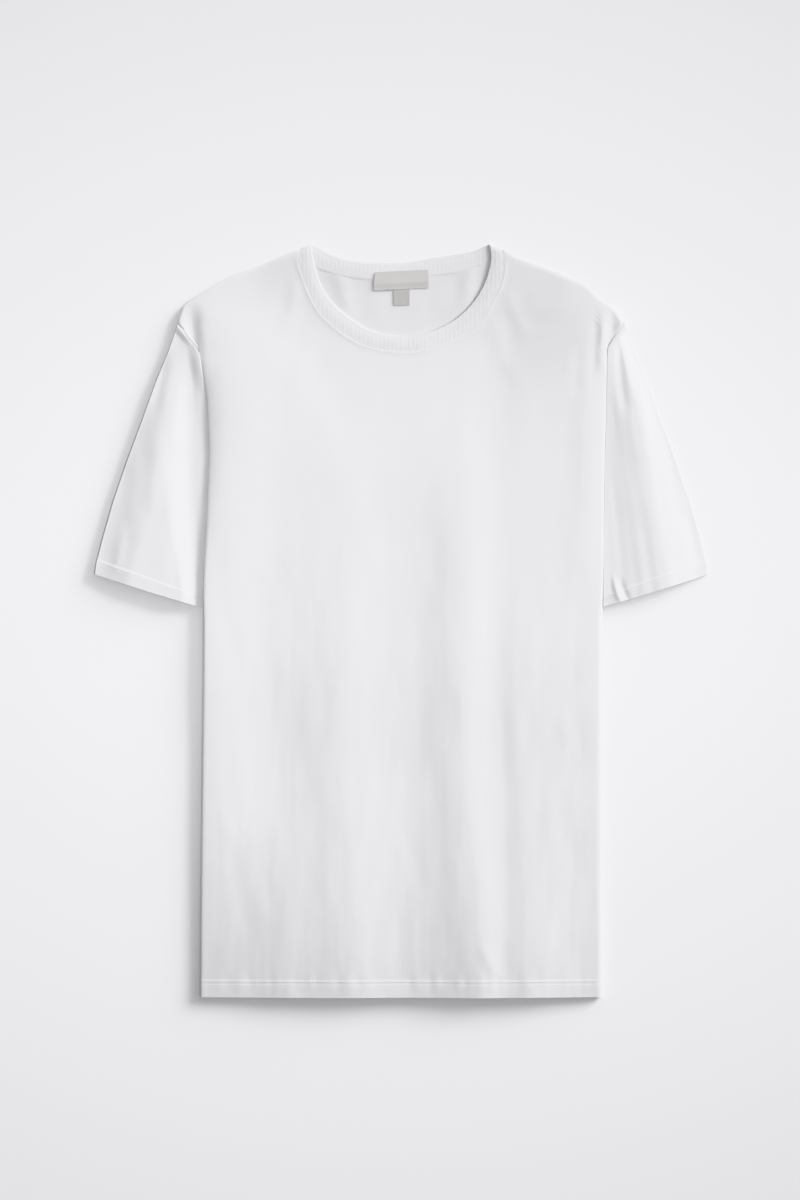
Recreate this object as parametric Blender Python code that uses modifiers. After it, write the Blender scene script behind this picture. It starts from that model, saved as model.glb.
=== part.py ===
"""Crew neck t-shirt lying flat on its back with its sides tucked under.

The width is along X, the length along Y with the neck at +Y, and +Z is up from the surface.
The origin is on the surface, under the middle of the outline. Sizes are in millimetres.

Layers over a tucked side, from the surface up: sleeve, front strip, back strip, back, front.
"""
import math

import bmesh
import bpy
import numpy as np

MM = 0.001

WALL = 1.2  # jersey, with its loft
GAP = 0.35  # between layers and at seams
LAYER = WALL + GAP
RIB = 2.2  # the doubled rib of the neckband
TAPE = 0.7
TAPE_BELOW = 1.0  # how far the tape reaches below the back neck seam
TAPE_ABOVE = 5.5
TAPE_TOP = 3.4
TAPE_ENDS = 3  # stations left out at each end of the tape
LABEL = 0.5
LABEL_LOW = 3.1  # height of the label's lower edge
TAB_TOP = 2.1
LABEL_BEND = 0.6  # share of the label's height above its bend

HEM_Y = -356.3
SHOULDER_Y = 297.0  # the shoulder's outer end

SLEEVE_STACK = 3.3  # a pressed sleeve under the body
STRIP_OVER_SLEEVE = SLEEVE_STACK + 0.5
SLEEVE_END = -12.0  # below this height the body comes down to the surface
SLEEVE_RUN = 50.0
ARMHOLE_TOP = 264.0  # above this height no sleeve lies under the body
ARMHOLE_RUN = 24.0
SAG_START = 9.0
SAG_RUN = 26.0  # the step down beside a tucked strip
FRONT_SAG = 0.45  # the front comes down by this share, and more gently
SAG_FULL_FROM = 130.0  # towards the neck it comes down all the way
SAG_FULL_RUN = 120.0
FRONT_SAG_RUN = 96.0
FRONT_SLEEVE_RUN = 140.0
FRONT_ARMHOLE_RUN = 76.0
ROLL = 6.0  # half width of the rolled side edge
PUFF_RUN = (60.0, 96.0)  # on the left and on the right
PUFF_START = 10.0
HEM_LIFT = 6.5  # the front stands clear of the surface at its hem
HEM_RUN = 230.0
HEM_SIDES = 90.0
NECK_LIFT = 3.2
NECK_REACH = 42.0
NECK_STRETCH = 0.8  # the lift at the neck reaches further lengthwise by this share
HPS_X = 96.0  # high point of the shoulder
HPS_Y = 350.7

SHOULDER_COLUMNS = 9
NECK_COLUMNS = 22
SHOULDER_END = 2.0  # what is left of the back's rise at the shoulder fold
NECK_CURL = 0.6  # how far the columns beside the neck curl over, as a share
ROLL_STEPS = 5
STRIP_LEAST = 1.2  # narrowest strip past a rolled edge
ROLL_SHARPNESS = 1.5  # tightest radius of a rolled edge
STRIP_STEPS = 3
LAST_COLUMN = 2 * SHOULDER_COLUMNS + NECK_COLUMNS
# Columns where the shoulders end, and their place across the hem as a share of the width.
BASE_COLUMNS = ([0, SHOULDER_COLUMNS, LAST_COLUMN - SHOULDER_COLUMNS, LAST_COLUMN], [0.0, 0.2, 0.8, 1.0])
LEAD_IN = 75.0  # how far below its tip a column keeps turning to its place
UPPER_END = 60.0  # above this height the rows follow the top edge
LOWER_ROWS = (24.0, SLEEVE_END, -37.0, -62.0)
UPPER_ROWS_SHOULDER = (0.0, 0.006, 0.02, 0.072, 0.158, 0.215, 0.29, 0.38, 0.5, 0.66, 0.82, 1.0)
UPPER_ROWS_NECK = (0.0, 0.045, 0.09, 0.135, 0.18, 0.23, 0.3, 0.4, 0.52, 0.67, 0.83, 1.0)
HEM_ROWS = 9
BACK_INSET = 2.4  # how much tighter the back's rolled edge is than the front's

# Outline of the body and the rolled ridge inside it: height, left and right edge, left and right ridge.
BODY_EDGES = [
    (-356.0, -191.0, 191.0, -191.0, 191.0),
    (-265.0, -190.5, 190.5, -190.5, 190.5),
    (-132.0, -189.0, 190.5, -189.0, 190.5),
    (-19.0, -187.6, 190.5, -187.5, 190.5),
    (19.0, -187.6, 190.5, -186.5, 190.5),
    (47.0, -186.8, 190.7, -184.0, 190.7),
    (94.0, -184.1, 191.3, -181.5, 191.3),
    (160.0, -181.6, 192.3, -179.5, 192.3),
    (208.0, -183.6, 193.8, -180.0, 193.8),
    (246.0, -190.0, 194.3, -183.5, 193.8),
    (260.0, -196.0, 195.2, -187.0, 193.4),
    (280.0, -211.8, 210.4, -193.0, 196.0),
    (297.0, -207.0, 199.5, -199.0, 192.0),
]

# Width of the side strip that is tucked under: height, width.
STRIP_WIDTHS = [(-356.0, 60.0), (60.0, 58.0), (105.0, 48.0), (262.0, 4.0), (297.0, 3.0)]

# Puffed side edges: height, rise on the left, rise on the right.
PUFFS = [
    (-356.0, 3.0, 1.4), (-260.0, 4.0, 1.4), (-180.0, 5.2, 1.4), (-60.0, 5.4, 1.6), (0.0, 4.2, 2.0),
    (200.0, 3.4, 2.2), (262.0, 1.2, 1.0), (297.0, 0.6, 0.6),
]

# Shoulder line from its outer end to the neck, as seen from above, left and right.
SHOULDER_LEFT = [
    (-207.0, SHOULDER_Y), (-200.0, 302.5), (-162.0, 325.2), (-133.8, 335.6), (-105.4, 347.9), (-HPS_X, HPS_Y),
]
SHOULDER_RIGHT = [
    (199.5, SHOULDER_Y), (187.7, 304.4), (168.8, 320.5), (140.4, 332.8), (112.0, 342.2), (HPS_X, HPS_Y),
]

# Seam of the neckband on the front, left to right.
FRONT_SEAM = [
    (-96.0, 350.7), (-96.9, 337.5), (-92.2, 323.3), (-83.7, 302.5), (-69.5, 283.6), (-40.2, 262.8),
    (-3.3, 254.8), (28.0, 258.2), (60.0, 271.5), (76.1, 285.5), (86.0, 302.5), (93.5, 318.6), (96.4, 334.0),
    (96.0, 350.7),
]

# Free edge of the neckband on the front, left to right.
FRONT_FREE = [
    (-84.6, 355.5), (-82.0, 337.0), (-76.2, 318.0), (-67.9, 304.4), (-55.3, 291.6), (-30.0, 275.4),
    (0.0, 269.2), (25.0, 273.0), (47.0, 283.2), (64.0, 298.0), (75.2, 314.0), (81.4, 330.0), (83.6, 343.0),
    (82.5, 355.5),
]

# Seam and free edge of the neckband on the back, left to right.
BACK_SEAM = [
    (-96.0, 350.7), (-81.5, 335.0), (-69.5, 329.5), (-53.4, 324.9), (-29.8, 322.8), (0.0, 323.6),
    (26.9, 325.8), (42.1, 327.4), (53.4, 329.6), (67.6, 333.5), (80.0, 338.0), (96.0, 350.7),
]
BACK_FREE = [
    (-84.6, 355.5), (-77.1, 352.6), (-67.5, 347.5), (-57.2, 343.4), (-45.9, 340.3), (-26.0, 338.5),
    (0.0, 338.0), (14.7, 340.0), (29.8, 342.8), (45.9, 345.1), (67.5, 349.4), (82.5, 355.5),
]

# Soft lengthwise folds of the front: height, place and spread at three stations, top to bottom.
FOLD_COLUMNS = ("y0", "x0", "y1", "x1", "y2", "x2", "rise", "left", "right", "fade")
FOLDS = [
    (76.0, -60.0, -123.0, -54.0, -350.0, -46.0, 3.2, 44.0, 32.0, 120.0),
    (140.0, 60.0, -123.0, 58.0, -350.0, 74.0, 4.6, 34.0, 26.0, 190.0),
    (20.0, 112.0, -123.0, 112.0, -350.0, 122.0, 2.2, 16.0, 48.0, 150.0),
    (-190.0, -128.0, -260.0, -122.0, -350.0, -114.0, 1.4, 36.0, 26.0, 90.0),
    (236.0, 178.0, 150.0, 176.0, 60.0, 172.0, 0.8, 14.0, 12.0, 60.0),
    (262.0, -120.0, 180.0, -70.0, 60.0, -30.0, 0.9, 26.0, 26.0, 50.0),
    (262.0, 124.0, 200.0, 112.0, 90.0, 108.0, 0.8, 20.0, 22.0, 50.0),
]

# Sleeves, given for the right-hand side: height, outer edge.
SLEEVE_OUTER = [
    (43.0, 291.0), (54.0, 289.5), (75.6, 284.0), (113.4, 273.2), (151.3, 260.2), (189.1, 246.0),
    (226.9, 232.3), (255.3, 220.5), (280.0, 212.8),
]
# Crest of each tented sleeve: height, place on the left, place on the right, rise.
SLEEVE_CREST = [
    (28.0, 257.0, 246.0, 13.6), (47.0, 252.0, 242.0, 13.6), (75.0, 241.5, 235.0, 13.6),
    (113.0, 232.0, 227.5, 13.4), (160.0, 227.0, 221.0, 13.0), (208.0, 221.5, 214.0, 11.6),
    (230.0, 217.0, 209.5, 10.5), (280.0, 206.0, 202.0, 8.0),
]
ARMHOLE = [(213.2, 280.8), (196.4, 260.2), (178.0, 239.0), (163.0, 195.0), (146.0, 148.0), (130.0, 105.0)]
CUFF_OUTER = (291.0, 43.5)
CUFF_INNER = (128.0, -4.5)
CUFF_BOW = 1.6
SLEEVE_TOP_COLUMNS = 15
SLEEVE_UNDER_COLUMNS = 6
SLEEVE_ROWS = 12
SLEEVE_RIM = {-1: 8.6, 1: 3.6}  # height of the outer fold, left and right
SLEEVE_FLAT = (0.02, 0.985)  # share across a sleeve between its two folds
SLEEVE_LEAST = 8.0  # narrowest slope beside a crest
FOLD_ANGLES = (45.0, 90.0, 135.0)

BAND_LOW = 3.1  # the front band's middle over the surface, at its lowest point
BAND_RISE = 2.6  # and how much higher it stands at the sides
BAND_BACK = 1.2
BAND_TURN = 0.22  # share of the first stretch that the fold at the shoulder takes up
BAND_GAP = 0.4

LABEL_CORNERS = ((-26.5, 311.8), (25.8, 314.4), (25.2, 331.6), (-25.4, 329.0))
TAB_CORNERS = ((-7.6, 298.0), (7.6, 298.0), (7.6, 315.6), (-7.6, 315.6))

WHITE = (0.79, 0.79, 0.805, 1.0)
LABEL_GREY = (0.62, 0.62, 0.61, 1.0)


def smooth(t):
    t = np.clip(t, 0.0, 1.0)
    return t * t * (3.0 - 2.0 * t)


def column(rows, value, which=1):
    """Reads one column of a table against its first column."""
    table = np.array(rows)
    return np.interp(value, table[:, 0], table[:, which])


def curve(points, count):
    """Evenly spaced points on a smooth curve through the given ones."""
    control = np.array(points, dtype=float)
    ends = np.vstack([2 * control[0] - control[1], control, 2 * control[-1] - control[-2]])
    dense = []
    for i in range(1, len(ends) - 2):
        p0, p1, p2, p3 = ends[i - 1], ends[i], ends[i + 1], ends[i + 2]
        for t in np.linspace(0.0, 1.0, 16, endpoint=False):
            dense.append(
                0.5 * (2 * p1 + (p2 - p0) * t + (2 * p0 - 5 * p1 + 4 * p2 - p3) * t * t
                       + (3 * p1 - p0 - 3 * p2 + p3) * t ** 3)
            )
    dense = np.array(dense + [control[-1]])
    run = np.concatenate([[0.0], np.cumsum(np.linalg.norm(np.diff(dense, axis=0), axis=1))])
    wanted = np.linspace(0.0, run[-1], count)
    return np.stack([np.interp(wanted, run, dense[:, k]) for k in range(dense.shape[1])], axis=1)


def strip_base(y, run=SLEEVE_RUN, fall=ARMHOLE_RUN):
    """Height of the front strip over the surface, where it crosses a sleeve."""
    rising = smooth((y - SLEEVE_END + run) / run)
    return STRIP_OVER_SLEEVE * rising * (1.0 - smooth((y - ARMHOLE_TOP) / fall))


def from_edge(x, y):
    """Distance inwards from the nearer rolled ridge."""
    return np.minimum(x - column(BODY_EDGES, y, 3), column(BODY_EDGES, y, 4) - x)


def back_floor(x, y):
    """Underside of the back: up on the tucked strips, down on the surface between them."""
    beyond = (from_edge(x, y) - column(STRIP_WIDTHS, y) - SAG_START) / SAG_RUN
    return (strip_base(y) + 2 * LAYER) * (1.0 - smooth(beyond))


def front_floor(x, y):
    """The same for the front, which bridges the steps beside the strips."""
    beyond = (from_edge(x, y) - column(STRIP_WIDTHS, y) - SAG_START) / FRONT_SAG_RUN
    base = strip_base(y, FRONT_SLEEVE_RUN, FRONT_ARMHOLE_RUN)
    sag = FRONT_SAG + (1.0 - FRONT_SAG) * smooth((y - SAG_FULL_FROM) / SAG_FULL_RUN)
    return (base + 2 * LAYER) * (1.0 - sag * smooth(beyond))


def side_puff(x, y):
    rise = np.where(x < 0.0, column(PUFFS, y, 1), column(PUFFS, y, 2))
    run = np.where(x < 0.0, *PUFF_RUN)
    return rise * (1.0 - smooth((from_edge(x, y) - PUFF_START) / run))


def hem_lift(x, y):
    return HEM_LIFT * smooth((HEM_Y + HEM_RUN - y) / HEM_RUN) * smooth(from_edge(x, y) / HEM_SIDES)


def fold_height(x, y, row):
    f = dict(zip(FOLD_COLUMNS, row))
    line = np.interp(y, [f["y2"], f["y1"], f["y0"]], [f["x2"], f["x1"], f["x0"]])
    off = x - line
    spread = np.where(off < 0, f["left"], f["right"])
    grown = smooth((f["y0"] + f["fade"] / 2 - y) / f["fade"])
    if f["y2"] > HEM_Y + f["fade"]:
        grown = grown * smooth((y - f["y2"] + f["fade"]) / f["fade"])
    return f["rise"] * grown * np.exp(-((off / spread) ** 2))


def front_loft(x, y):
    """How far the front stands clear of the back."""
    loft = side_puff(x, y) + hem_lift(x, y)
    for row in FOLDS:
        loft = loft + fold_height(x, y, row)
    for side in (-1, 1):
        reach = np.hypot(x - side * HPS_X, (y - HPS_Y) * NECK_STRETCH) / NECK_REACH
        loft = loft + NECK_LIFT * np.exp(-reach ** 2)
    return loft


def front_top(x, y):
    return front_floor(x, y) + 2 * WALL + GAP + front_loft(x, y)


def back_top(x, y):
    return back_floor(x, y) + WALL + side_puff(x, y)


def top_edge(neckline):
    """Upper ends of a panel's columns, left to right, and how far each one curls over."""
    left = curve(SHOULDER_LEFT, SHOULDER_COLUMNS + 1)
    neck = curve(neckline, NECK_COLUMNS + 1)
    right = curve(SHOULDER_RIGHT, SHOULDER_COLUMNS + 1)[::-1]
    tips = np.vstack([left[:-1], neck, right[1:]])
    curls = np.zeros(len(tips))
    curls[:SHOULDER_COLUMNS] = 1.0
    curls[-SHOULDER_COLUMNS:] = 1.0
    curls[SHOULDER_COLUMNS] = NECK_CURL
    curls[-SHOULDER_COLUMNS - 1] = NECK_CURL
    return tips, curls


def row_heights(tip_y, curl):
    """Heights of a column's rows: fixed ones low down, and shares of what is left above them."""
    spaced = UPPER_ROWS_SHOULDER if curl > 0.5 else UPPER_ROWS_NECK
    upper = [tip_y - (tip_y - UPPER_END) * share for share in spaced]
    hem = list(np.linspace(LOWER_ROWS[-1], HEM_Y, HEM_ROWS + 1))[1:]
    return upper + list(LOWER_ROWS) + hem


def panel_rows(neckline, inset, lift, top, shoulder_end):
    """A panel's outer surface: strips, rolled edges and main part, one row after another."""
    tips, curls = top_edge(neckline)
    heights = [row_heights(tip[1], curl) for tip, curl in zip(tips, curls)]
    shares = np.interp(range(len(tips)), *BASE_COLUMNS)
    rows = []
    for j in range(len(heights[0])):
        row = []
        for i, (tip, curl) in enumerate(zip(tips, curls)):
            y = heights[i][j]
            x = column_x(shares[i], tip, y)
            z = float(top(x, y))
            over = (tip[1] - y) / ROLL
            if over < 1.0 and curl > 0.0:
                spare = max(z - float(back_floor(x, y)) - shoulder_end, 0.0)
                z -= curl * spare * (1.0 - math.sqrt(1.0 - (1.0 - over) ** 2))
            row.append((x, y, z))
        left = side_points(row[0], -1, inset, lift)
        right = side_points(row[-1], 1, inset, lift)
        rows.append(left[::-1] + row + right)
    return rows


def column_x(s, tip, y):
    """Place of a column across the panel, led to its tip near the top edge."""
    low = column(BODY_EDGES, y, 1) + ROLL
    high = column(BODY_EDGES, y, 2) - ROLL
    tip_low = column(BODY_EDGES, tip[1], 1) + ROLL
    tip_high = column(BODY_EDGES, tip[1], 2) - ROLL
    at_tip = min(max((tip[0] - tip_low) / (tip_high - tip_low), 0.0), 1.0)
    blend = math.exp((y - tip[1]) / LEAD_IN)
    return float(low + (high - low) * (s + (at_tip - s) * blend))


def side_points(start, side, inset, lift):
    """A rolled side edge and the strip under it, going down from the end of the main part."""
    x0, y, high = start
    low = float(strip_base(y)) + lift
    centre = (high + low) / 2
    radius = (high - low) / 2
    reach = min(ROLL - inset, radius * radius / ROLL_SHARPNESS)
    points = []
    for turn in range(1, ROLL_STEPS + 1):
        angle = math.pi * turn / ROLL_STEPS
        points.append((x0 + side * reach * math.sin(angle), y, centre + radius * math.cos(angle)))
    width = max(float(column(STRIP_WIDTHS, y)) - ROLL - inset, STRIP_LEAST)
    for part in range(1, STRIP_STEPS + 1):
        points.append((x0 - side * width * part / STRIP_STEPS, y, low))
    return points


def material(name, colour, roughness):
    made = bpy.data.materials.new(name)
    made.use_nodes = True
    shader = made.node_tree.nodes["Principled BSDF"]
    shader.inputs["Base Color"].default_value = colour
    shader.inputs["Roughness"].default_value = roughness
    shader.inputs["Metallic"].default_value = 0.0
    return made


def sheet(name, rows, wall, offset, finish, closed_across=False, closed_along=False):
    """Cloth from rows of points, thickened to the given wall."""
    builder = bmesh.new()
    grid = [[builder.verts.new([c * MM for c in point]) for point in row] for row in rows]
    across = len(grid[0])
    along = len(grid)
    for j in range(along if closed_along else along - 1):
        lower = grid[(j + 1) % along]
        for i in range(across if closed_across else across - 1):
            k = (i + 1) % across
            builder.faces.new((grid[j][i], lower[i], lower[k], grid[j][k]))
    mesh = bpy.data.meshes.new(name)
    builder.to_mesh(mesh)
    builder.free()
    mesh.shade_smooth()
    mesh.materials.append(finish)
    made = bpy.data.objects.new(name, mesh)
    collection.objects.link(made)
    thick = made.modifiers.new("wall", "SOLIDIFY")
    thick.thickness = wall * MM
    thick.offset = offset
    thick.use_quality_normals = True
    return made


def front_panel():
    rows = panel_rows(FRONT_SEAM, 0.0, 0.0, front_top, SHOULDER_END + LAYER)
    sheet("front", rows, WALL, -1.0, material("jersey_front", WHITE, 0.9))


def back_panel():
    rows = panel_rows(BACK_SEAM, BACK_INSET, LAYER, back_top, SHOULDER_END)
    sheet("back", rows, WALL, -1.0, material("jersey_back", WHITE, 0.9))


def sleeve_top(x, y, side):
    """Height of a tented sleeve: low at its outer fold, a long crest, pressed under the body."""
    body = column(BODY_EDGES, y, 1 if side < 0 else 2) * side
    outer = column(SLEEVE_OUTER, y)
    crest = column(SLEEVE_CREST, y, 1 if side < 0 else 2)
    rise = column(SLEEVE_CREST, y, 3)
    inner = smooth((x - body - 1.0) / np.maximum(crest - body, SLEEVE_LEAST))
    fall = smooth((x - crest) / np.maximum(outer - crest, SLEEVE_LEAST))
    return SLEEVE_STACK + (rise - SLEEVE_STACK) * inner - (rise - SLEEVE_RIM[side]) * fall * inner


def sleeve_point(w, v):
    """A point of the flat sleeve, on the right-hand side: w across from the outer fold, v down."""
    hole = curve(ARMHOLE, 41)
    at = w * (len(hole) - 1)
    upper = np.array([np.interp(at, range(len(hole)), hole[:, k]) for k in (0, 1)])
    lower = np.array(CUFF_OUTER) * (1 - w) + np.array(CUFF_INNER) * w
    lower[1] -= CUFF_BOW * math.sin(math.pi * w)
    point = upper * (1 - v) + lower * v
    rim = np.array(ARMHOLE[0]) * (1 - v) + np.array(CUFF_OUTER) * v
    point[0] += (column(SLEEVE_OUTER, rim[1]) - rim[0]) * (1 - w) ** 2
    return point


def sleeve_row(v, side):
    """One ring of a sleeve: over the top, round the inner fold, back below and up the outer fold."""
    top = []
    for w in np.linspace(*SLEEVE_FLAT, SLEEVE_TOP_COLUMNS + 1):
        x, y = sleeve_point(w, v)
        top.append((x, y, float(sleeve_top(x, y, side))))
    under = []
    for w in np.linspace(*SLEEVE_FLAT[::-1], SLEEVE_UNDER_COLUMNS + 1):
        x, y = sleeve_point(w, v)
        under.append((x, y, 0.0))
    inner = fold_arc(top[-1], under[0], sleeve_point(1.0, v))
    outer = fold_arc(under[-1], top[0], sleeve_point(0.0, v))
    ring = top + inner + under + outer
    return [(side * x, y, z) for x, y, z in ring]


def fold_arc(start, end, tip):
    """Three points round a fold between two layers."""
    points = []
    for angle in FOLD_ANGLES:
        turn = math.radians(angle)
        share = math.sin(turn)
        height = (start[2] + end[2]) / 2 + (start[2] - end[2]) / 2 * math.cos(turn)
        x = start[0] + (tip[0] - start[0]) * share
        y = start[1] + (tip[1] - start[1]) * share
        points.append((x, y, height))
    return points


def sleeve(name, side):
    rows = [sleeve_row(v, side) for v in np.linspace(0.0, 1.0, SLEEVE_ROWS + 1)]
    if side > 0:
        rows = [row[::-1] for row in rows]
    sheet(name, rows, WALL, -1.0, material("jersey_" + name, WHITE, 0.9), closed_across=True)


def band_rows():
    """The neckband's middle surface as a ring: front left to right, then back right to left."""
    front_a = curve(FRONT_SEAM, NECK_COLUMNS + 1)
    front_b = curve(FRONT_FREE, NECK_COLUMNS + 1)
    back_a = curve(BACK_SEAM, NECK_COLUMNS + 1)[::-1]
    back_b = curve(BACK_FREE, NECK_COLUMNS + 1)[::-1]
    sides = np.abs(np.linspace(-1.0, 1.0, NECK_COLUMNS + 1))
    heights = BAND_LOW + BAND_RISE * smooth(sides / 0.8)
    gaps = BAND_GAP * (1.0 + 2.0 * smooth((sides - 0.75) / 0.25))
    rows = [band_section(step(front_a), step(front_b), heights[0], gaps[0])]
    for i in range(1, NECK_COLUMNS):
        rows.append(band_section(front_a[i], front_b[i], heights[i], gaps[i]))
    rows.append(band_section(step(front_a[::-1]), step(front_b[::-1]), heights[-1], gaps[-1]))
    rows.append(band_section(front_a[-1], front_b[-1], (heights[-1] + BAND_BACK) / 2, gaps[-1]))
    rows.append(band_section(step(back_a), step(back_b), BAND_BACK, gaps[0]))
    for i in range(1, NECK_COLUMNS):
        rows.append(band_section(back_a[i], back_b[i], BAND_BACK, gaps[i]))
    rows.append(band_section(step(back_a[::-1]), step(back_b[::-1]), BAND_BACK, gaps[-1]))
    rows.append(band_section(front_a[0], front_b[0], (heights[0] + BAND_BACK) / 2, gaps[0]))
    return rows


def step(line):
    """The point a little way along a line, past the fold at its end."""
    return line[0] + (line[1] - line[0]) * BAND_TURN


def band_section(seam, free, height, gap):
    """Across the band from its seam, held back by the gap, to its free edge."""
    across = free - seam
    start = seam + across / np.linalg.norm(across) * gap
    points = []
    for share in (0.0, 0.5, 1.0):
        x, y = start * (1 - share) + free * share
        points.append((x, y, height))
    return points


def neckband():
    rows = band_rows()
    sheet("neckband", rows, RIB, 0.0, material("rib", WHITE, 0.92), closed_along=True)


def neck_tape():
    seam = curve(BACK_SEAM, 25)[TAPE_ENDS:-TAPE_ENDS]
    free = curve(BACK_FREE, 25)[TAPE_ENDS:-TAPE_ENDS]
    rows = []
    for a, b in zip(seam, free):
        across = (b - a) / np.linalg.norm(b - a)
        low = a - across * TAPE_BELOW
        high = a + across * TAPE_ABOVE
        rows.append([(low[0], low[1], TAPE_TOP), (high[0], high[1], TAPE_TOP)])
    sheet("neck_tape", rows, TAPE, -1.0, material("tape", WHITE, 0.85))


def flat_label(name, corners, top_z, low_z, finish):
    """A label that hangs from its top edge, its lower edge nearer the cloth."""
    rows = []
    for down in np.linspace(0.0, 1.0, 6):
        row = []
        for across in np.linspace(0.0, 1.0, 5):
            lower = np.array(corners[0]) * (1 - across) + np.array(corners[1]) * across
            upper = np.array(corners[3]) * (1 - across) + np.array(corners[2]) * across
            x, y = upper * (1 - down) + lower * down
            row.append((x, y, top_z + (low_z - top_z) * float(smooth((down - LABEL_BEND) / (1 - LABEL_BEND)))))
        rows.append(row)
    sheet(name, rows, LABEL, -1.0, finish)


def labels():
    on_tape = TAPE_TOP + GAP + LABEL
    flat_label("main_label", LABEL_CORNERS, on_tape, LABEL_LOW, material("label", LABEL_GREY, 0.6))
    flat_label("size_tab", TAB_CORNERS, TAB_TOP, TAB_TOP, material("tab", LABEL_GREY, 0.6))


for old in list(bpy.data.objects):
    bpy.data.objects.remove(old)
collection = bpy.data.collections.new("crew_neck_t_shirt")
bpy.context.scene.collection.children.link(collection)

front_panel()
back_panel()
sleeve("sleeve_left", -1)
sleeve("sleeve_right", 1)
neckband()
neck_tape()
labels()
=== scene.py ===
"""Looks of the crew neck t-shirt: thin cloth shells, seams, stitching, labels, light and camera.

The width is along X, the length along Y with the neck at +Y, and +Z is up. Forms are worked out in
millimetres and written in metres. A table with y as its first column is interpolated between its rows.
"""
import math

import bmesh
import bpy
import numpy as np
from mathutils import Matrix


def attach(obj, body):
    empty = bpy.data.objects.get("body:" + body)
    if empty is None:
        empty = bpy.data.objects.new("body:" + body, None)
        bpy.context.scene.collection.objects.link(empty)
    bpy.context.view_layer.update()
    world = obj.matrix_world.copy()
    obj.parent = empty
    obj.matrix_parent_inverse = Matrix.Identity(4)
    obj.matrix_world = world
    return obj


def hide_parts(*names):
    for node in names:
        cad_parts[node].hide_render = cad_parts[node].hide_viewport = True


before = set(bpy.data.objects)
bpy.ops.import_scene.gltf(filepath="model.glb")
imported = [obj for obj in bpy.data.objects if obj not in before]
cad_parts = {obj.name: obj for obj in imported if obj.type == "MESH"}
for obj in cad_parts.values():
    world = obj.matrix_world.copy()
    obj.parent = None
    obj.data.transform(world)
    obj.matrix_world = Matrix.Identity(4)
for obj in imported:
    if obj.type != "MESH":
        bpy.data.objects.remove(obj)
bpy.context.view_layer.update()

MM = 0.001

# ---------------------------------------- sizes, as in the solids
WALL = 1.2
GAP = 0.35  # between two walls that lie on each other
LAYER = WALL + GAP

HEM_Y = -356.3
SHOULDER_Y = 297.0
HPS_X = 96.0  # high point of the shoulder
HPS_Y = 350.7
SHOULDER_END = 2.0  # height at which a shoulder seam ends above the back's floor
UPPER_END = 60.0  # lowest row that still leans towards the neckline
LEAD_IN = 75.0  # over which the columns straighten below the neckline
BACK_INSET = 2.4  # of the back's rolled edge inside the front's

# the strips tucked under at the sides lie on the surface low down, and on a sleeve up to the armhole
SLEEVE_STACK = 3.3
STRIP_OVER_SLEEVE = SLEEVE_STACK + 0.5
SLEEVE_END = -12.0
SLEEVE_RUN = 50.0
ARMHOLE_TOP = 264.0
ARMHOLE_RUN = 24.0

# the panels sag towards the middle, the front more gently and mostly near the neck; it also bridges
# the steps onto the sleeves and off them
SAG_START = 9.0
SAG_RUN = 26.0
FRONT_SAG = 0.06
FRONT_SAG_RUN = 96.0
SAG_FULL_FROM = 120.0
SAG_FULL_RUN = 150.0
FRONT_SLEEVE_RUN = 140.0
FRONT_ARMHOLE_RUN = 76.0

# the rolled side edges: half widths, and where they tighten to lie on the sleeve
ROLL = 6.0
ROLL_LEFT = 2.6
SEAM_ROLL = 0.6
TIGHT_FROM = -10.0
TIGHT_RUN = 70.0
LEAST_REACH = 0.4
LEAST_STRIP = 1.2
ROLL_SHARPNESS = 1.5

PUFF_START = 10.0
PUFF_RUN = (60.0, 96.0)  # left, right
NECK_LIFT = {-1: 3.2, 1: 0.9}
NECK_REACH = 42.0
NECK_SQUEEZE = 0.8  # of the lifted patch along the length

# y, left edge, right edge, left ridge, right ridge
BODY_EDGES = [
    (-356.0, -191.0, 191.0, -191.0, 191.0),
    (-265.0, -190.5, 190.5, -190.5, 190.5),
    (-132.0, -189.0, 190.5, -189.0, 190.5),
    (-19.0, -187.6, 190.5, -187.5, 190.5),
    (19.0, -187.6, 190.5, -186.5, 190.5),
    (47.0, -186.8, 190.7, -184.0, 190.7),
    (94.0, -184.1, 191.3, -181.5, 191.3),
    (160.0, -181.6, 192.3, -179.5, 192.3),
    (208.0, -183.6, 193.8, -180.0, 193.8),
    (246.0, -190.0, 194.3, -183.5, 193.8),
    (260.0, -192.4, 195.2, -186.0, 193.4),
    (280.0, -211.8, 210.4, -193.0, 196.0),
    (297.0, -207.0, 199.5, -199.0, 192.0),
]
# y, width tucked under
STRIP_WIDTHS = [(-356.0, 60.0), (60.0, 58.0), (105.0, 48.0), (262.0, 4.0), (297.0, 3.0)]
# y, left rise, right rise
PUFFS = [
    (-356.0, 3.0, 1.4), (-260.0, 4.0, 1.4), (-180.0, 5.2, 1.4), (-60.0, 5.4, 1.6), (0.0, 4.2, 2.0),
    (200.0, 2.6, 1.6), (262.0, 1.0, 0.8), (297.0, 0.6, 0.6),
]

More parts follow.
